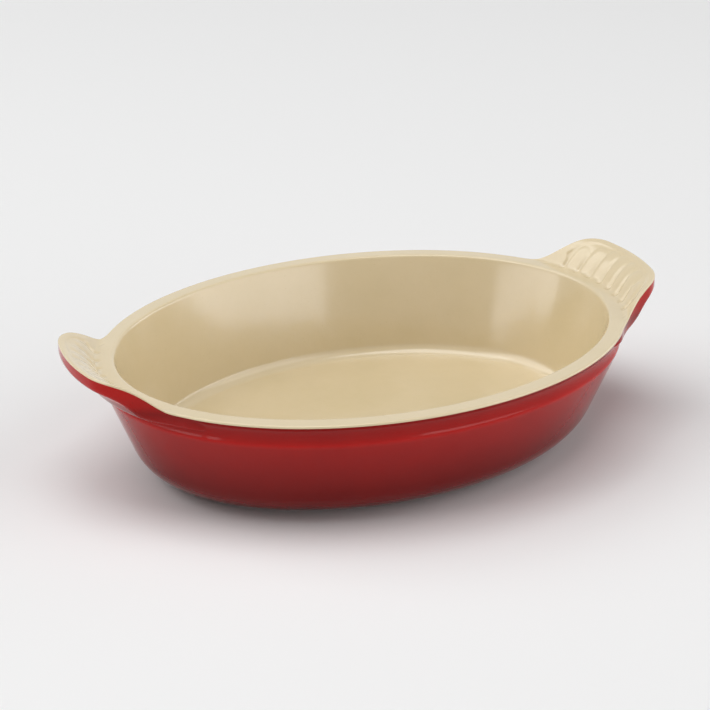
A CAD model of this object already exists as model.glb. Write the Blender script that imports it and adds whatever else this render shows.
import math

import bpy
import numpy as np
from mathutils import Matrix, Vector


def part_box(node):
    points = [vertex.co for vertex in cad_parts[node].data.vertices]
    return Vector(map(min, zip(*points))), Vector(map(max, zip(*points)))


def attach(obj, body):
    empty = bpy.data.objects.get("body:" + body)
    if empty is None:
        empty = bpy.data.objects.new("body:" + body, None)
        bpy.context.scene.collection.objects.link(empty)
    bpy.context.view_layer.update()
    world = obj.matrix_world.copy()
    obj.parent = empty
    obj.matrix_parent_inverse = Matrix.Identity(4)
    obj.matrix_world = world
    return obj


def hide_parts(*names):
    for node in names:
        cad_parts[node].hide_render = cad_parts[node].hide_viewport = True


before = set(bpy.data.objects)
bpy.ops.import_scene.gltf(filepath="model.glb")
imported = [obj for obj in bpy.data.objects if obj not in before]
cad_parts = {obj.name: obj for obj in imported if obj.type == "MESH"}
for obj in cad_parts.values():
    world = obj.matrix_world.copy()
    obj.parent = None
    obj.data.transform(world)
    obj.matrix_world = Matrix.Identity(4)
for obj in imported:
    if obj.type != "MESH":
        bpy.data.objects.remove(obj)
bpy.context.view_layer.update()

# The scene is in metres: Z is up, X runs through both handles, and the dish stands on Z = 0.
MM = 0.001
UP = Vector((0, 0, 1))

# Camera, fitted to the rim's oval and the dish's outline in the photograph, which is 710 pixels
# square. It faces the middle of the rim and is then slid a little to the left and down.
PICTURE_SIZE = 710
FOCAL_PIXELS = 2258.8
SENSOR_WIDTH = 36.0
CAMERA_AZIMUTH = -25.252
CAMERA_ELEVATION = 24.434
CAMERA_DISTANCE = 1.15876
CAMERA_SLIDE_RIGHT = -5.854 * MM
CAMERA_SLIDE_UP = -12.676 * MM
CAMERA_NEAR = 0.05
CAMERA_FAR = 50

# Light, floor and backdrop. Colours are given as they look on screen, 0 to 255.
WORLD_LEVEL = 0.10
LAMP_TARGET = Vector((0, 0, 0.04))
BACKDROP_COLOUR = (243, 243, 243)
FLOOR_COLOUR = (240, 240, 240)
FLOOR_HALF_WIDTH = 6.0
FLOOR_ROUGHNESS = 0.9
FLOOR_SPECULAR = 0.1

# Textures: noise scales per metre, the noise values between which a colour changes, and bumps.
# The glaze's colour drifts slowly and has fine specks, its surface has broad waves under a finer
# skin, and the clay has a grain.
DRIFT_SCALE = 38
DRIFT_FROM, DRIFT_TO = 0.3, 0.7
SPECK_SCALE = 1400
SPECK_FROM, SPECK_TO = 0.70, 0.78
WAVE_SCALE = 55
WAVE_HEIGHT, WAVE_STRENGTH = 1.2 * MM, 0.12
SKIN_SCALE = 420
SKIN_HEIGHT, SKIN_STRENGTH = 0.2 * MM, 0.10
GRAIN_SCALE = 900
GRAIN_FROM, GRAIN_TO = 0.35, 0.65
GRAIN_HEIGHT, GRAIN_STRENGTH = 0.3 * MM, 0.4
GLAZE_IOR = 1.5
COAT_ROUGHNESS = 0.12
CLAY_ROUGHNESS = 0.85
CLAY_DARK = (196, 178, 148)
CLAY_PALE = (222, 208, 182)

# Heights in millimetres, and how bright the red is there: the glaze is thick and deep low on the
# wall and in the collar's hollow, and thin and bright along the ridge
SHADE_TOP = 80 * MM
RED_SHADES = (
    (0, 0.32), (20, 0.38), (38, 0.6), (50, 0.74), (52.5, 1.0),
    (55, 0.82), (59, 0.66), (62.5, 0.5), (66, 0.8), (72, 0.95))

# The dish's surface is drawn as one sheet in millimetres: columns run round the oval, and rows run
# from the middle of the floor over the rim and down the outside to the middle of the base. In a
# section, distances are measured outwards from the rim's edge, and slopes from upright. A cut is
# how far from a corner its rounding starts.

# The rim: its half width is the CAD's, rounded down to a tenth so that the sheet stays inside the
# CAD's box. LAND is the width of its flat top, and LIP the height of its plain edge.
CREAM_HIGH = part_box("interior_glaze")[1]
RIM_HALF_WIDTH = math.floor(10 * CREAM_HIGH.y / MM) / 10
RIM_HALF_LENGTH = 141.0
RIM_TOP = 64.0
RIM_INNER_CUT = 1.3
LAND = 8.2
LIP = 1.6
LIP_ROUND = 1.2
LIP_CUT = 0.2
GLAZE_THICKNESS = 0.4

# The hollow collar under the rim, the ridge that ends it, the wall below and the foot ring. COLLAR
# is the ridge's depth below the rim's top, and insets are measured inwards from the rim's edge.
COLLAR = 11.5
COLLAR_HOLLOW = 2.6
COLLAR_HOLLOW_SHARE = 0.55
RIDGE_INSET = 1.8
RIDGE_CUT = 1.1
WALL_SLOPE = math.radians(22.0)
BASE_ROUND = 27.7
FOOT_HEIGHT = 1.5
FOOT_INSET = 41.6
FOOT_WIDTH = 5.0
FOOT_ROUND = 0.5

# The inside: depth from the rim's top to the floor, slope of the wall, and the round at its foot
CAVITY_DEPTH = 52.0
CAVITY_SLOPE = math.radians(17.7)
CAVITY_ROUND = 7.0

# The handle seen from above: how far its tip lies outside the rim, where its outline crosses the
# rim's edge, and the radii of the fade in under that edge, the neck, the corner and the tip. The
# straight flank lies between the neck and the corner, and HANDLE_FLANK is its angle to the X axis.
HANDLE_REACH = 18.98
HANDLE_ROOT_Y = 54.2
HANDLE_FADE = 15.0
HANDLE_FADE_TURN = math.radians(45)
HANDLE_NECK = 57.6
HANDLE_FLANK = math.radians(24.1)
HANDLE_CORNER = 20.3
HANDLE_TIP = 97.0

# The handle in section: a tight bend, a steep ramp and a broad crown, and its underside. The rise
# sets in where the outline's reach past the rim goes from LIFT_START to LIFT_FULL.
RISE_START = 0.8
RISE_BEND = 3.0
RISE_ANGLE = math.radians(54)
RISE_RUN = 4.6
RISE_CROWN = 26.0
LIFT_START = -1.5
LIFT_FULL = 1.0
HANDLE_THICKNESS = 7.0
HANDLE_UPPER_CUT = 0.8
HANDLE_LOWER_CUT = 2.2
HANDLE_JOIN_CUT = 2.6
JOIN_MARGIN = 0.02

# The ribs, and the grooves between them, on a panel inside the handle's plain border. Grooves are
# cut where the handle's reach is over GROOVE_REACH, and set in over the rim's edge.
RIB_COUNT = 9
RIB_PITCH = 9.2
RIB_GAP = 0.9
RIB_LENGTH = 15.4
RIB_LENGTH_SHARES = (1.0, 0.97, 0.88, 0.72, 0.48)
RIB_START = -2.8
RIB_FAN = math.radians(7)
RIB_SHOULDER = 2.3
RIB_SOFT = 1.8
GROOVE_REACH = 0.5
GROOVE_START = -2.2
GROOVE_FULL = 0.6
GROOVE_DEEP = 0.9
GROOVE_SHALLOW = 0.35
GROOVE_FADE = 0.75 * RIB_LENGTH
PANEL_BORDER = 4.0
PANEL_SLOPE = 1.8

# The grid: columns lie FINE_STEP apart at the handles and COARSE_STEP elsewhere. Rows lie closer
# where a section bends, on the handles' tops and above a height on their outer sides. The rows of
# the floor and the base lie at FLOOR_SHARES of the way from their middle to their edge.
FINE_STEP = 0.6
FINE_REACH = 58.0
FINE_FADE = 14.0
COARSE_STEP = 3.4
COLUMN_SAMPLES = 24001
CREAM_ROWS = 104
RED_ROWS = 92
FOOT_ROWS = 18
FLOOR_SHARES = (0.04, 0.12, 0.22, 0.34, 0.46, 0.58, 0.7, 0.82, 0.92)
DENSE_REACH = 3
CREAM_DENSITY = 2.2
CREAM_DENSE_FROM = -3
RED_DENSITY = 0.6
RED_DENSE_ABOVE = 55
BEND_WEIGHT = 5
BEND_LIMIT = 1.2
BEND_WINDOW = 2.2
PATH_SAMPLES = 900
SAME_PLACE = 1e-6
SHARP_ANGLE = math.radians(50)

# Numbers of points on arcs and curves, steps along lines, the range over which the rise's slope is
# sampled, the most of a line that a cut may take, and the rounds of the search for a place
FADE_POINTS = 24
NECK_POINTS = 24
FLANK_POINTS = 30
CORNER_POINTS = 40
TIP_POINTS = 30
CAVITY_POINTS = 24
BASE_POINTS = 60
LAND_POINTS = 160
UNDERSIDE_SAMPLES = 400
UNDERSIDE_POINTS = 120
ROUNDING_POINTS = 11
WALL_STEP = 0.4
SIDE_STEP = 0.2
SHORT_STEP = 0.1
FOOT_STEP = 0.5
COLLAR_STEP = 0.3
SLOPE_FROM = -9
SLOPE_TO = 21
SLOPE_STEP = 0.025
CUT_LIMIT = 0.48
PLACE_ROUNDS = 8


def srgb(red, green, blue):
    """A colour given as it looks on screen, 0 to 255, as the linear colour that nodes take."""
    linear = []
    for value in (red, green, blue):
        share = value / 255
        linear.append(share / 12.92 if share <= 0.04045 else ((share + 0.055) / 1.055) ** 2.4)
    return (*linear, 1.0)


def grey(level):
    """A linear grey."""
    return (level, level, level, 1)


def direction(azimuth, elevation):
    """The direction from the dish to a viewer: azimuth 0 is from -Y and 90 from +X."""
    a, e = math.radians(azimuth), math.radians(elevation)
    return Vector((math.sin(a) * math.cos(e), -math.cos(a) * math.cos(e), math.sin(e)))


def side_axes(back):
    """The directions to the right and up, for something that looks along -back."""
    right = UP.cross(back).normalized()
    return right, back.cross(right)


def facing(place, back):
    """A matrix for a camera or lamp at a place, that looks along -back."""
    matrix = Matrix((*side_axes(back), back)).transposed().to_4x4()
    matrix.translation = place
    return matrix


def new_object(name, data):
    """A new object in the scene."""
    made = bpy.data.objects.new(name, data)
    bpy.context.scene.collection.objects.link(made)
    return made


def make_camera():
    """The camera that the photograph was taken with."""
    back = direction(CAMERA_AZIMUTH, CAMERA_ELEVATION)
    right, up = side_axes(back)
    place = Vector((0, 0, RIM_TOP * MM)) + back * CAMERA_DISTANCE
    place += right * CAMERA_SLIDE_RIGHT
    place += up * CAMERA_SLIDE_UP
    data = bpy.data.cameras.new("camera")
    data.sensor_width = SENSOR_WIDTH
    data.lens = FOCAL_PIXELS * SENSOR_WIDTH / PICTURE_SIZE
    data.clip_start = CAMERA_NEAR
    data.clip_end = CAMERA_FAR
    camera = new_object("camera", data)
    camera.matrix_world = facing(place, back)
    bpy.context.scene.camera = camera


def make_lamp(name, azimuth, elevation, distance, width, height, watts):
    """A white rectangular lamp that faces the dish and isn't seen by the camera."""
    data = bpy.data.lights.new(name, "AREA")
    data.shape = "RECTANGLE"
    data.size = width
    data.size_y = height
    data.energy = watts
    back = direction(azimuth, elevation)
    lamp = new_object(name, data)
    lamp.matrix_world = facing(LAMP_TARGET + back * distance, back)
    lamp.visible_camera = False


def make_world():
    """Even studio light, with white where the camera, glass or gloss looks past the floor."""
    world = bpy.data.worlds.new("studio")
    bpy.context.scene.world = world
    world.use_nodes = True
    tree = world.node_tree
    tree.nodes.clear()
    output = tree.nodes.new("ShaderNodeOutputWorld")
    light = tree.nodes.new("ShaderNodeBackground")
    light.inputs["Color"].default_value = grey(1)
    light.inputs["Strength"].default_value = WORLD_LEVEL
    backdrop = tree.nodes.new("ShaderNodeBackground")
    backdrop.inputs["Color"].default_value = srgb(*BACKDROP_COLOUR)
    backdrop.inputs["Strength"].default_value = 1.0
    path = tree.nodes.new("ShaderNodeLightPath")
    share = path.outputs["Is Camera Ray"]
    for kind in ("Is Glossy Ray", "Is Transmission Ray"):
        either = tree.nodes.new("ShaderNodeMath")
        either.operation = "MAXIMUM"
        tree.links.new(share, either.inputs[0])
        tree.links.new(path.outputs[kind], either.inputs[1])
        share = either.outputs[0]
    mix = tree.nodes.new("ShaderNodeMixShader")
    tree.links.new(share, mix.inputs["Fac"])
    tree.links.new(light.outputs[0], mix.inputs[1])
    tree.links.new(backdrop.outputs[0], mix.inputs[2])
    tree.links.new(mix.outputs[0], output.inputs["Surface"])


def make_floor():
    """The plain pale surface that the dish stands on."""
    size = FLOOR_HALF_WIDTH
    mesh = bpy.data.meshes.new("floor")
    corners = [(-size, -size, 0), (size, -size, 0), (size, size, 0), (-size, size, 0)]
    mesh.from_pydata(corners, [], [(0, 1, 2, 3)])
    floor = new_object("floor", mesh)
    material, tree, shader = new_material("floor_paper")
    shader.inputs["Base Color"].default_value = srgb(*FLOOR_COLOUR)
    shader.inputs["Roughness"].default_value = FLOOR_ROUGHNESS
    shader.inputs["Specular IOR Level"].default_value = FLOOR_SPECULAR
    mesh.materials.append(material)


def new_material(name):
    """A new material, its node tree and its shader."""
    material = bpy.data.materials.new(name)
    material.use_nodes = True
    tree = material.node_tree
    return material, tree, tree.nodes["Principled BSDF"]


def object_place(tree):
    """The socket with the object's own coordinates, in metres."""
    return tree.nodes.new("ShaderNodeTexCoord").outputs["Object"]


def noise(tree, coordinates, scale, detail=2.0, roughness=0.5):
    """A noise texture, as the socket with its value."""
    node = tree.nodes.new("ShaderNodeTexNoise")
    node.inputs["Scale"].default_value = scale
    node.inputs["Detail"].default_value = detail
    node.inputs["Roughness"].default_value = roughness
    tree.links.new(coordinates, node.inputs["Vector"])
    return node.outputs["Fac"]


def colour_ramp(tree, value, stops):
    """A colour ramp over a value, from a list of positions and colours."""
    node = tree.nodes.new("ShaderNodeValToRGB")
    elements = node.color_ramp.elements
    while len(elements) < len(stops):
        elements.new(0.5)
    for element, (position, colour) in zip(elements, stops):
        element.position = position
        element.color = colour
    tree.links.new(value, node.inputs["Fac"])
    return node.outputs["Color"]


def mixed(tree, share, first, second, blend="MIX"):
    """Two colours mixed by a share, each of them a socket, a number or a colour."""
    node = tree.nodes.new("ShaderNodeMix")
    node.data_type = "RGBA"
    node.blend_type = blend
    # For colours, the node takes its share at input 0 and its colours at 6 and 7
    for index, value in ((0, share), (6, first), (7, second)):
        if isinstance(value, bpy.types.NodeSocket):
            tree.links.new(value, node.inputs[index])
        else:
            node.inputs[index].default_value = value
    return node.outputs[2]


def bump(tree, height, distance, strength, below=None):
    """A bump from a height, on top of the one below."""
    node = tree.nodes.new("ShaderNodeBump")
    node.inputs["Strength"].default_value = strength
    node.inputs["Distance"].default_value = distance
    tree.links.new(height, node.inputs["Height"])
    if below is not None:
        tree.links.new(below, node.inputs["Normal"])
    return node.outputs["Normal"]


def shade_by_height(tree, place, shades):
    """A grey that follows the height on the dish, from heights in millimetres and levels."""
    axes = tree.nodes.new("ShaderNodeSeparateXYZ")
    tree.links.new(place, axes.inputs[0])
    share = tree.nodes.new("ShaderNodeMath")
    share.operation = "DIVIDE"
    share.inputs[1].default_value = SHADE_TOP
    tree.links.new(axes.outputs["Z"], share.inputs[0])
    stops = [(height * MM / SHADE_TOP, grey(shade)) for height, shade in shades]
    return colour_ramp(tree, share.outputs[0], stops)


def glaze(name, pale, deep, speck, speck_share, roughness, coat, specular, shades=None):
    """A glossy glaze: colour that drifts with its thickness, fine specks, and a wavy skin."""
    material, tree, shader = new_material(name)
    place = object_place(tree)
    drift = noise(tree, place, DRIFT_SCALE, detail=4, roughness=0.6)
    colour = colour_ramp(tree, drift, [(DRIFT_FROM, pale), (DRIFT_TO, deep)])
    grains = noise(tree, place, SPECK_SCALE, detail=1)
    specks = colour_ramp(tree, grains, [(SPECK_FROM, grey(0)), (SPECK_TO, grey(speck_share))])
    colour = mixed(tree, specks, colour, speck)
    if shades:
        colour = mixed(tree, 1.0, colour, shade_by_height(tree, place, shades), "MULTIPLY")
    tree.links.new(colour, shader.inputs["Base Color"])
    waves = bump(tree, noise(tree, place, WAVE_SCALE), WAVE_HEIGHT, WAVE_STRENGTH)
    skin = bump(tree, noise(tree, place, SKIN_SCALE), SKIN_HEIGHT, SKIN_STRENGTH, waves)
    tree.links.new(skin, shader.inputs["Normal"])
    tree.links.new(waves, shader.inputs["Coat Normal"])
    shader.inputs["Roughness"].default_value = roughness
    shader.inputs["IOR"].default_value = GLAZE_IOR
    shader.inputs["Specular IOR Level"].default_value = specular
    shader.inputs["Coat Weight"].default_value = coat
    shader.inputs["Coat Roughness"].default_value = COAT_ROUGHNESS
    return material


def bare_clay():
    """Matt fired clay with a fine grain."""
    material, tree, shader = new_material("bare_clay")
    grain = noise(tree, object_place(tree), GRAIN_SCALE, detail=6, roughness=0.7)
    stops = [(GRAIN_FROM, srgb(*CLAY_DARK)), (GRAIN_TO, srgb(*CLAY_PALE))]
    tree.links.new(colour_ramp(tree, grain, stops), shader.inputs["Base Color"])
    tree.links.new(bump(tree, grain, GRAIN_HEIGHT, GRAIN_STRENGTH), shader.inputs["Normal"])
    shader.inputs["Roughness"].default_value = CLAY_ROUGHNESS
    return material


def soft_step(value, low, high):
    """0 below low, 1 above high, and a smooth rise between them."""
    share = np.clip((value - low) / (high - low), 0, 1)
    return share * share * (3 - 2 * share)


def oval(turn):
    """Points of the rim's oval at the angles in turn."""
    return np.stack((RIM_HALF_LENGTH * np.cos(turn), RIM_HALF_WIDTH * np.sin(turn)), -1)


def oval_normal(turn):
    """Outward normals of the rim's oval at the angles in turn."""
    normal = np.stack((RIM_HALF_WIDTH * np.cos(turn), RIM_HALF_LENGTH * np.sin(turn)), -1)
    return normal / np.linalg.norm(normal, axis=-1, keepdims=True)


def oval_place(points):
    """The angle and the distance outwards of points near the oval."""
    turn = np.arctan2(points[:, 1] * RIM_HALF_LENGTH, points[:, 0] * RIM_HALF_WIDTH)
    for _ in range(PLACE_ROUNDS):
        base = oval(turn)
        along = np.stack((-RIM_HALF_LENGTH * np.sin(turn), RIM_HALF_WIDTH * np.cos(turn)), -1)
        turn = turn + np.sum((points - base) * along, -1) / np.sum(along * along, -1)
    return turn, np.sum((points - oval(turn)) * oval_normal(turn), -1)


def rim_x(y):
    """Where the rim's oval lies along X at a place across the dish."""
    return RIM_HALF_LENGTH * math.sqrt(1 - (y / RIM_HALF_WIDTH) ** 2)


def arc(centre, radius, first, last, count):
    """Points of an arc between two angles."""
    angles = np.linspace(first, last, count)
    x, y = centre[0] + radius * np.cos(angles), centre[1] + radius * np.sin(angles)
    return np.stack((x, y), -1)


def line(first, last, step=WALL_STEP):
    """Points along a straight line, both ends among them."""
    count = max(2, int(math.hypot(last[0] - first[0], last[1] - first[1]) / step) + 1)
    shares = np.linspace(0, 1, count)[:, None]
    return np.array(first) + (np.array(last) - np.array(first)) * shares


def handle_outline():
    """Half of the handle from above, from under the rim's edge round to the middle of the tip."""
    root = np.array((rim_x(HANDLE_ROOT_Y), HANDLE_ROOT_Y))
    outwards = root / np.array((RIM_HALF_LENGTH**2, RIM_HALF_WIDTH**2))
    rim_angle = math.atan2(outwards[1], outwards[0])
    outwards = outwards / np.linalg.norm(outwards)
    fade_centre = root - outwards * HANDLE_FADE
    fade = arc(fade_centre, HANDLE_FADE, rim_angle + HANDLE_FADE_TURN, rim_angle, FADE_POINTS)
    flank_angle = math.pi / 2 - HANDLE_FLANK
    neck_centre = root + outwards * HANDLE_NECK
    neck = arc(neck_centre, HANDLE_NECK, rim_angle + math.pi, flank_angle + math.pi, NECK_POINTS)

    # The flank runs from the neck until its corner's arc touches the arc of the tip from inside
    along = np.array((math.cos(HANDLE_FLANK), -math.sin(HANDLE_FLANK)))
    flank_out = np.array((math.sin(HANDLE_FLANK), math.cos(HANDLE_FLANK)))
    tip_centre = np.array((RIM_HALF_LENGTH + HANDLE_REACH - HANDLE_TIP, 0.0))
    start = neck[-1] - flank_out * HANDLE_CORNER - tip_centre
    middle = np.dot(start, along)
    gap = HANDLE_TIP - HANDLE_CORNER
    run = -middle + math.sqrt(middle**2 - np.dot(start, start) + gap**2)
    corner_centre = start + along * run + tip_centre
    tip_angle = math.atan2(corner_centre[1] - tip_centre[1], corner_centre[0] - tip_centre[0])
    corner = arc(corner_centre, HANDLE_CORNER, flank_angle, tip_angle, CORNER_POINTS)
    flank = neck[-1] + (corner[0] - neck[-1]) * np.linspace(0, 1, FLANK_POINTS)[:, None]
    tip = arc(tip_centre, HANDLE_TIP, tip_angle, 0, TIP_POINTS)
    return np.concatenate((fade, neck[1:], flank[1:], corner[1:], tip[1:]))


def spaced_columns():
    """Angles round the oval, close together at the handles and the same in each quarter."""
    turn = np.linspace(0, 2 * math.pi, COLUMN_SAMPLES)
    point = oval(turn)
    step = np.linalg.norm(np.diff(point, axis=0), axis=1)
    across = np.abs(point[1:, 1] + point[:-1, 1]) / 2
    coarse = soft_step(across, FINE_REACH, FINE_REACH + FINE_FADE)
    spacing = FINE_STEP + (COARSE_STEP - FINE_STEP) * coarse
    total = np.concatenate(((0,), np.cumsum(step / spacing)))
    count = 4 * round(total[-1] / 4)
    return np.interp(np.arange(count) * total[-1] / count, total, turn)


def handle_reaches(turns, outline):
    """How far the handle's outline lies outside the rim's edge at each column, or within it."""
    turn, distance = oval_place(outline)
    order = np.argsort(turn)
    from_axis = np.abs((turns + math.pi / 2) % math.pi - math.pi / 2)
    return np.interp(from_axis, turn[order], distance[order])


def rise(distance):
    """Height of the handle's top over the rim, at a distance outside the rim's edge."""
    sine, cosine = math.sin(RISE_ANGLE), math.cos(RISE_ANGLE)
    bend_end = RISE_BEND * sine - RISE_START
    bend_height = RISE_BEND * (1 - cosine)
    ramp_end = bend_end + RISE_RUN * cosine
    ramp_height = bend_height + RISE_RUN * sine
    crown_x = ramp_end + RISE_CROWN * sine
    crown_z = ramp_height - RISE_CROWN * cosine
    along_bend = np.clip(distance + RISE_START, 0, RISE_BEND * sine)
    bend = RISE_BEND - np.sqrt(RISE_BEND**2 - along_bend**2)
    ramp = bend_height + (distance - bend_end) * sine / cosine
    crown = crown_z + np.sqrt(np.maximum(RISE_CROWN**2 - (distance - crown_x) ** 2, 0))
    return np.where(distance < bend_end, bend, np.where(distance < ramp_end, ramp, crown))


def rise_slope(distance):
    """Steepness of the handle's top, as an angle."""
    count = round((SLOPE_TO - SLOPE_FROM) / SLOPE_STEP) + 1
    samples = np.linspace(SLOPE_FROM, SLOPE_TO, count)
    return np.interp(distance, samples, np.arctan(np.gradient(rise(samples), SLOPE_STEP)))


def length_along(path):
    """The length along a path at each of its points."""
    return np.concatenate(((0,), np.cumsum(np.linalg.norm(np.diff(path, axis=0), axis=1))))


def point_at(path, place):
    """The point of a path at a length along it."""
    along = length_along(path)
    return np.array([np.interp(place, along, values) for values in path.T])


def between(path, first, last):
    """The part of a path between two lengths along it."""
    along = length_along(path)
    inner = path[(along > first) & (along < last)]
    return np.concatenate(([point_at(path, first)], inner, [point_at(path, last)]))


def joined(segments, cuts):
    """Segments joined end to end, with each corner between them cut back and rounded."""
    lengths = [length_along(segment)[-1] for segment in segments]
    cuts = [
        min(cut, lengths[i] * CUT_LIMIT, lengths[i + 1] * CUT_LIMIT) for i, cut in enumerate(cuts)]
    share = np.linspace(0, 1, ROUNDING_POINTS)[:, None]
    pieces = []
    for i, segment in enumerate(segments):
        first = cuts[i - 1] if i > 0 else 0
        last = lengths[i] - (cuts[i] if i < len(cuts) else 0)
        pieces.append(between(segment, first, last))
        if i < len(cuts):
            start, corner, end = pieces[-1][-1], segment[-1], point_at(segments[i + 1], cuts[i])
            bend = (1 - share) ** 2 * start + 2 * share * (1 - share) * corner + share**2 * end
            pieces.append(bend[1:-1])
    return np.concatenate(pieces)


def spread(path, count, density=0, axis=0, above=0):
    """A path resampled to a count of points.

    They lie closer where it bends, and by a density where it is above a value on an axis: 0 is the
    distance from the rim's edge and 1 is the height.
    """
    along = length_along(path)
    keep = np.concatenate(((True,), np.diff(along) > SAME_PLACE))
    path, along = path[keep], along[keep]
    fine = np.linspace(0, along[-1], PATH_SAMPLES)
    even = np.stack([np.interp(fine, along, values) for values in path.T], -1)
    across, upwards = np.gradient(even, axis=0).T
    bend = np.abs(np.gradient(np.unwrap(np.arctan2(upwards, across)), fine))
    window = max(3, int(BEND_WINDOW / (fine[1] - fine[0])) | 1)
    kernel = np.hanning(window + 2)[1:-1]
    kernel /= kernel.sum()
    padded = np.pad(np.minimum(bend, BEND_LIMIT), window // 2, mode="edge")
    weight = 1 + BEND_WEIGHT * np.convolve(padded, kernel, mode="valid")
    weight = weight + density * (even[:, axis] > above)
    total = np.concatenate(((0,), np.cumsum((weight[1:] + weight[:-1]) / 2)))
    place = np.interp(np.linspace(0, total[-1], count), total, fine)
    return np.stack([np.interp(place, fine, values) for values in even.T], -1)


def collar_circle():
    """Centre and radius of the collar's arc, through the lip, its deepest point and the ridge."""
    a = np.array((0.0, RIM_TOP - LIP))
    b = np.array((-COLLAR_HOLLOW, RIM_TOP - COLLAR * COLLAR_HOLLOW_SHARE))
    c = np.array((-RIDGE_INSET, RIM_TOP - COLLAR))
    matrix = 2 * np.array((b - a, c - a))
    centre = np.linalg.solve(matrix, np.array((b @ b - a @ a, c @ c - a @ a)))
    return centre, np.linalg.norm(a - centre)


COLLAR_CENTRE, COLLAR_RADIUS = collar_circle()


def collar_points(top, bottom):
    """Section of the collar between two heights."""
    heights = np.linspace(top, bottom, max(3, int((top - bottom) / COLLAR_STEP)))
    insets = COLLAR_CENTRE[0] - np.sqrt(COLLAR_RADIUS**2 - (heights - COLLAR_CENTRE[1]) ** 2)
    return np.stack((insets, heights), -1)


def cream_path(reach, lift):
    """Section of the cream side at a column, from the edge of the floor to the colour line."""
    floor = RIM_TOP - CAVITY_DEPTH
    foot_of_wall = -LAND - CAVITY_DEPTH * math.tan(CAVITY_SLOPE)
    tangent = CAVITY_ROUND * math.tan((math.pi / 2 - CAVITY_SLOPE) / 2)
    centre = (foot_of_wall - tangent, floor + CAVITY_ROUND)
    bend = arc(centre, CAVITY_ROUND, -math.pi / 2, -CAVITY_SLOPE, CAVITY_POINTS)
    wall = line(bend[-1], (-LAND, RIM_TOP))
    distance = np.linspace(-LAND, max(reach, 0.0), LAND_POINTS)
    land = np.stack((distance, RIM_TOP + lift * rise(distance)), -1)
    side = line(land[-1], land[-1] - (0, 2 * LIP_ROUND), SIDE_STEP)
    inner = np.concatenate((bend, wall[1:]))
    path = joined([inner, land, side], [RIM_INNER_CUT, LIP_ROUND])
    return between(path, 0, length_along(path)[-1] - LIP_ROUND)


def outer_wall():
    """Section of the wall, from the ridge to the foot ring."""
    ridge = (-RIDGE_INSET, RIM_TOP - COLLAR)
    base_x = ridge[0] - (ridge[1] - FOOT_HEIGHT) * math.tan(WALL_SLOPE)
    tangent = BASE_ROUND * math.tan((math.pi / 2 - WALL_SLOPE) / 2)
    centre = (base_x - tangent, FOOT_HEIGHT + BASE_ROUND)
    base = arc(centre, BASE_ROUND, -WALL_SLOPE, -math.pi / 2, BASE_POINTS)
    return np.concatenate((line(ridge, base[0]), base[1:], [(-FOOT_INSET, FOOT_HEIGHT)]))


def handle_underside(reach, end):
    """Section of the handle's underside, from its edge to where it meets the collar."""
    top = np.linspace(-RISE_START, reach + HANDLE_THICKNESS, UNDERSIDE_SAMPLES)
    height = rise(top)
    slope = np.arctan(np.gradient(height, top))
    lower_x = top + HANDLE_THICKNESS * np.sin(slope)
    lower_z = RIM_TOP + height - HANDLE_THICKNESS * np.cos(slope)
    inward = np.linspace(reach, -RISE_START, UNDERSIDE_POINTS)
    return np.concatenate((np.stack((inward, np.interp(inward, lower_x, lower_z)), -1), [end]))


def red_path(reach, lift):
    """Section of the red side at a column, from the colour line to the foot."""
    edge = max(reach, 0.0)
    edge_top = RIM_TOP + lift * float(rise(np.array(edge))) - LIP_ROUND
    collar = collar_points(RIM_TOP - LIP, RIM_TOP - COLLAR)
    under = RIM_TOP - HANDLE_THICKNESS
    lower = collar_points(under, RIM_TOP - COLLAR)
    join_x = float(lower[0, 0])
    if reach <= join_x + JOIN_MARGIN:
        lip = line((0, edge_top), (0, RIM_TOP - LIP), SHORT_STEP)
        return joined([lip, collar, outer_wall()], [LIP_CUT, RIDGE_CUT])
    if reach >= 0:
        underside = handle_underside(reach, (join_x, under))
        upper = [line((edge, edge_top), underside[0], SIDE_STEP), underside]
        cuts = [HANDLE_LOWER_CUT]
    else:
        # The handle's root comes out of the collar under the rim's edge
        above = collar[collar[:, 1] > under]
        crossing = np.interp(-reach, -above[:, 0], above[:, 1])
        shown = collar[collar[:, 1] > crossing]
        hollow = np.concatenate(([(0, edge_top)], shown, [(reach, crossing)]))
        side = line((reach, crossing), (reach, under), SIDE_STEP)
        upper = [hollow, side, line((reach, under), (join_x, under), SHORT_STEP)]
        cuts = [HANDLE_UPPER_CUT, HANDLE_LOWER_CUT]
    return joined([*upper, lower, outer_wall()], [*cuts, HANDLE_JOIN_CUT, RIDGE_CUT])


def foot_section():
    """Section of the bare foot ring, from the end of the red coat to the edge of the base coat."""
    outer, inner = -FOOT_INSET, -FOOT_INSET - FOOT_WIDTH
    corners = [(outer, FOOT_HEIGHT), (outer, 0), (inner, 0), (inner, FOOT_HEIGHT)]
    sides = [line(first, last, FOOT_STEP) for first, last in zip(corners, corners[1:])]
    return spread(joined(sides, [FOOT_ROUND, FOOT_ROUND]), FOOT_ROWS)


def rib_distance(x, y):
    """Distance from the edge of the nearest rib to points seen from above; negative on a rib."""
    half_width = (RIB_PITCH - RIB_GAP) / 2
    middle = (RIB_COUNT - 1) / 2
    nearest = np.full(x.shape, np.inf)
    for index in range(RIB_COUNT):
        place = index - middle
        off_x, off_y = x - rim_x(place * RIB_PITCH), y - place * RIB_PITCH
        fan = -RIB_FAN * place / middle
        cosine, sine = math.cos(fan), math.sin(fan)
        length = RIB_LENGTH * RIB_LENGTH_SHARES[int(abs(place))] - half_width
        along = np.clip(off_x * cosine + off_y * sine, RIB_START, length)
        gap = np.hypot(off_x - along * cosine, off_y - along * sine) - half_width
        nearest = np.minimum(nearest, gap)
    return nearest


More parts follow.
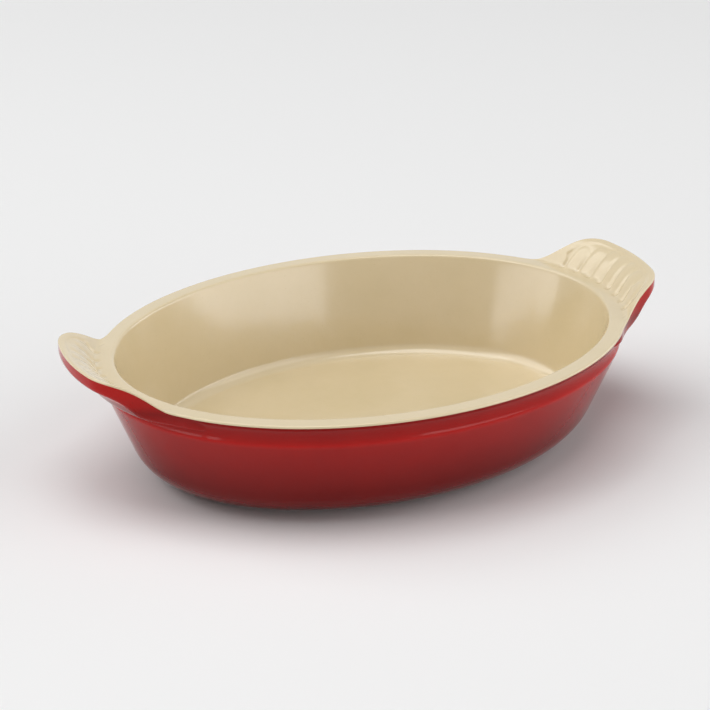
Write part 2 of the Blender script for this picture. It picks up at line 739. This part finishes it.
def outline_distance(x, y, outline):
    """Distance from the handle's outline to points seen from above."""
    whole = np.concatenate((outline, outline[::-1] * (1, -1)))
    nearest = np.full(x.shape, np.inf)
    for first, last in zip(whole[:-1:2], whole[2::2]):
        step = last - first
        off_x, off_y = x - first[0], y - first[1]
        share = np.clip((off_x * step[0] + off_y * step[1]) / (step @ step), 0, 1)
        nearest = np.minimum(nearest, np.hypot(off_x - share * step[0], off_y - share * step[1]))
    return nearest


def groove_depth(points, distance, outline):
    """How deep the grooves lie below the handle's plain top, at points seen from above."""
    x, y = np.abs(points[..., 0]), points[..., 1]
    fall = (rib_distance(x, y) + RIB_SHOULDER) / (RIB_SHOULDER + RIB_GAP / 2)
    fall = np.clip(fall, 0, 1) ** RIB_SOFT
    depth = GROOVE_DEEP + (GROOVE_SHALLOW - GROOVE_DEEP) * soft_step(distance, 0, GROOVE_FADE)
    half_slope = PANEL_SLOPE / 2
    from_edge = outline_distance(x, y, outline)
    inside = soft_step(from_edge, PANEL_BORDER - half_slope, PANEL_BORDER + half_slope)
    return depth * fall * inside * soft_step(distance, GROOVE_START, GROOVE_FULL)


def placed(sections, turns):
    """Points in space of sections at the columns round the oval."""
    plan = oval(turns)[:, None, :] + oval_normal(turns)[:, None, :] * sections[:, :, :1]
    return np.concatenate((plan, sections[:, :, 1:]), -1)


def cut_grooves(points, distances, turns, outline):
    """Lower points on the handles between the ribs, square to the surface."""
    depth = groove_depth(points, distances, outline)
    slope = rise_slope(distances)
    points[..., :2] += (np.sin(slope) * depth)[..., None] * oval_normal(turns)[:, None, :]
    points[..., 2] -= np.cos(slope) * depth
    return points


def sheet_surface():
    """Rows of points in millimetres: the floor, the cream and red sides, the foot and the base."""
    outline = handle_outline()
    turns = spaced_columns()
    reaches = handle_reaches(turns, outline)
    lifts = soft_step(reaches, LIFT_START, LIFT_FULL)
    cream, red = [], []
    for reach, lift, dense in zip(reaches, lifts, soft_step(reaches, 0, DENSE_REACH)):
        cream.append(spread(
            cream_path(reach, lift), CREAM_ROWS, CREAM_DENSITY * dense, 0, CREAM_DENSE_FROM))
        red.append(spread(
            red_path(reach, lift), RED_ROWS, RED_DENSITY * dense, 1, RED_DENSE_ABOVE))
    cream, red = np.array(cream), np.array(red)
    cream_points = placed(cream, turns)
    near = reaches > GROOVE_REACH
    cream_points[near] = cut_grooves(cream_points[near], cream[near, :, 0], turns[near], outline)
    foot_points = placed(np.repeat(foot_section()[None], len(turns), 0), turns)
    floor_edge, base_edge = cream_points[:, 0], foot_points[:, -1]
    floor_rows = np.array([floor_edge * (share, share, 1) for share in FLOOR_SHARES])
    base_rows = np.array([base_edge * (share, share, 1) for share in FLOOR_SHARES[::-1]])
    sides = [part.swapaxes(0, 1) for part in (cream_points, placed(red, turns), foot_points)]
    return floor_rows, *sides, base_rows


def sheet_normals(points):
    """Outward normals of the whole sheet, from its neighbours along the rows and the columns."""
    down = np.gradient(points, axis=0)
    round_about = np.roll(points, -1, axis=1) - np.roll(points, 1, axis=1)
    normal = np.cross(down, round_about)
    return normal / np.linalg.norm(normal, axis=-1, keepdims=True)


class Builder:
    """Gathers the points and faces of one closed mesh from rings of points."""

    def __init__(self):
        self.points, self.quads, self.triangles, self.count = [], [], [], 0

    def add_points(self, points):
        """Add points, and give the number of the first."""
        first = self.count
        self.points.append(points.reshape(-1, 3))
        self.count += len(self.points[-1])
        return first

    def band(self, first, second, columns, flip=False):
        """Quads between two rings, given by the numbers of their first points."""
        i = np.arange(columns)
        j = (i + 1) % columns
        faces = np.stack((first + i, second + i, second + j, first + j), -1)
        self.quads.append(faces[:, ::-1] if flip else faces)

    def fan(self, ring, pole, columns, flip=False):
        """Triangles between a ring and a pole."""
        i = np.arange(columns)
        faces = np.stack((ring + i, np.full(columns, pole), ring + (i + 1) % columns), -1)
        self.triangles.append(faces[:, ::-1] if flip else faces)

    def sheet(self, rows, flip=False, first_pole=None, last_pole=None):
        """A sheet of rings, closed by a fan where an end has a pole; gives its end rings."""
        columns = rows.shape[1]
        start = self.add_points(rows)
        rings = [start + row * columns for row in range(rows.shape[0])]
        for first, second in zip(rings, rings[1:]):
            self.band(first, second, columns, flip)
        if first_pole is not None:
            self.fan(rings[0], self.add_points(np.array([first_pole])), columns, not flip)
        if last_pole is not None:
            self.fan(rings[-1], self.add_points(np.array([last_pole])), columns, flip)
        return rings[0], rings[-1]

    def piece(self, name, material, node):
        """The mesh as a piece in metres, in the place of a node."""
        quads = np.concatenate(self.quads)
        loops = [quads.reshape(-1)] + [fan.reshape(-1) for fan in self.triangles]
        sizes = [np.full(len(quads), 4)] + [np.full(len(fan), 3) for fan in self.triangles]
        sizes = np.concatenate(sizes)
        mesh = bpy.data.meshes.new(name)
        mesh.vertices.add(self.count)
        mesh.vertices.foreach_set("co", (np.concatenate(self.points) * MM).reshape(-1))
        mesh.loops.add(int(sizes.sum()))
        mesh.loops.foreach_set("vertex_index", np.concatenate(loops))
        mesh.polygons.add(len(sizes))
        mesh.polygons.foreach_set("loop_start", np.concatenate(((0,), np.cumsum(sizes)[:-1])))
        mesh.update(calc_edges=True)
        mesh.validate()
        mesh.shade_smooth()
        mesh.set_sharp_from_angle(angle=SHARP_ANGLE)
        mesh.materials.append(material)
        made = new_object(name, mesh)
        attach(made, "root")
        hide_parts(node)


def make_dish(clay, cream, red):
    """The clay body and its three coats, cut from one sheet."""
    floor_rows, cream_rows, red_rows, foot_rows, base_rows = sheet_surface()
    outer = np.concatenate((floor_rows, cream_rows, red_rows[1:], foot_rows[1:], base_rows))
    inner = outer - GLAZE_THICKNESS * sheet_normals(outer)
    columns = outer.shape[1]

    # Rows where one coat ends: the colour line, the top of the foot ring, and its inner edge
    line_row = len(floor_rows) + len(cream_rows) - 1
    foot_row = line_row + len(red_rows) - 1
    base_row = foot_row + len(foot_rows) - 1
    floor_pole = np.array((0, 0, RIM_TOP - CAVITY_DEPTH))
    base_pole = np.array((0, 0, FOOT_HEIGHT))
    under_glaze = np.array((0, 0, GLAZE_THICKNESS))

    def coat(name, first, last, material, slot, node, first_pole=None, last_pole=None):
        """One coat: its shown side, its side on the clay, and a band between them at open ends."""
        builder = Builder()
        hidden_first = None if first_pole is None else first_pole - under_glaze
        hidden_last = None if last_pole is None else last_pole + under_glaze
        shown_ends = builder.sheet(outer[first:last], False, first_pole, last_pole)
        hidden_ends = builder.sheet(inner[first:last], True, hidden_first, hidden_last)
        if first_pole is None:
            builder.band(hidden_ends[0], shown_ends[0], columns)
        if last_pole is None:
            builder.band(shown_ends[1], hidden_ends[1], columns)
        builder.piece(name, material, node)

    coat("cream_coat", 0, line_row + 1, cream, "cream_glaze", "interior_glaze",
         first_pole=floor_pole)
    coat("red_coat", line_row, foot_row + 1, red, "red_glaze", "exterior_glaze")
    coat("base_coat", base_row, len(outer), red, "red_glaze", "underside_glaze",
         last_pole=base_pole)
    body = Builder()
    rows = np.concatenate((inner[:foot_row + 1], outer[foot_row + 1:base_row], inner[base_row:]))
    body.sheet(rows, False, floor_pole - under_glaze, base_pole + under_glaze)
    body.piece("clay_body", clay, "stoneware_body")


bpy.context.scene.view_settings.view_transform = "Standard"
make_camera()
make_world()
make_floor()
make_lamp("key", azimuth=-116, elevation=48, distance=3.8, width=4.3, height=3.0, watts=84)
make_lamp("top", azimuth=-60, elevation=84, distance=3.5, width=2.6, height=2.1, watts=52)
make_lamp("front", azimuth=50, elevation=40, distance=3.8, width=2.9, height=2.2, watts=25)
make_lamp("fill", azimuth=57, elevation=12, distance=3.2, width=6.2, height=1.2, watts=58)
make_lamp("window", azimuth=-84, elevation=7, distance=2.4, width=2.1, height=0.6, watts=9)

cream = glaze(
    "cream_glaze", pale=srgb(218, 200, 163), deep=srgb(214, 196, 157), speck=srgb(170, 140, 96),
    speck_share=0.2, roughness=0.2, coat=0.6, specular=0.5)
red = glaze(
    "red_glaze", pale=srgb(184, 22, 15), deep=srgb(176, 18, 12), speck=srgb(100, 9, 10),
    speck_share=0.3, roughness=0.1, coat=0.0, specular=0.2, shades=RED_SHADES)
make_dish(bare_clay(), cream, red)
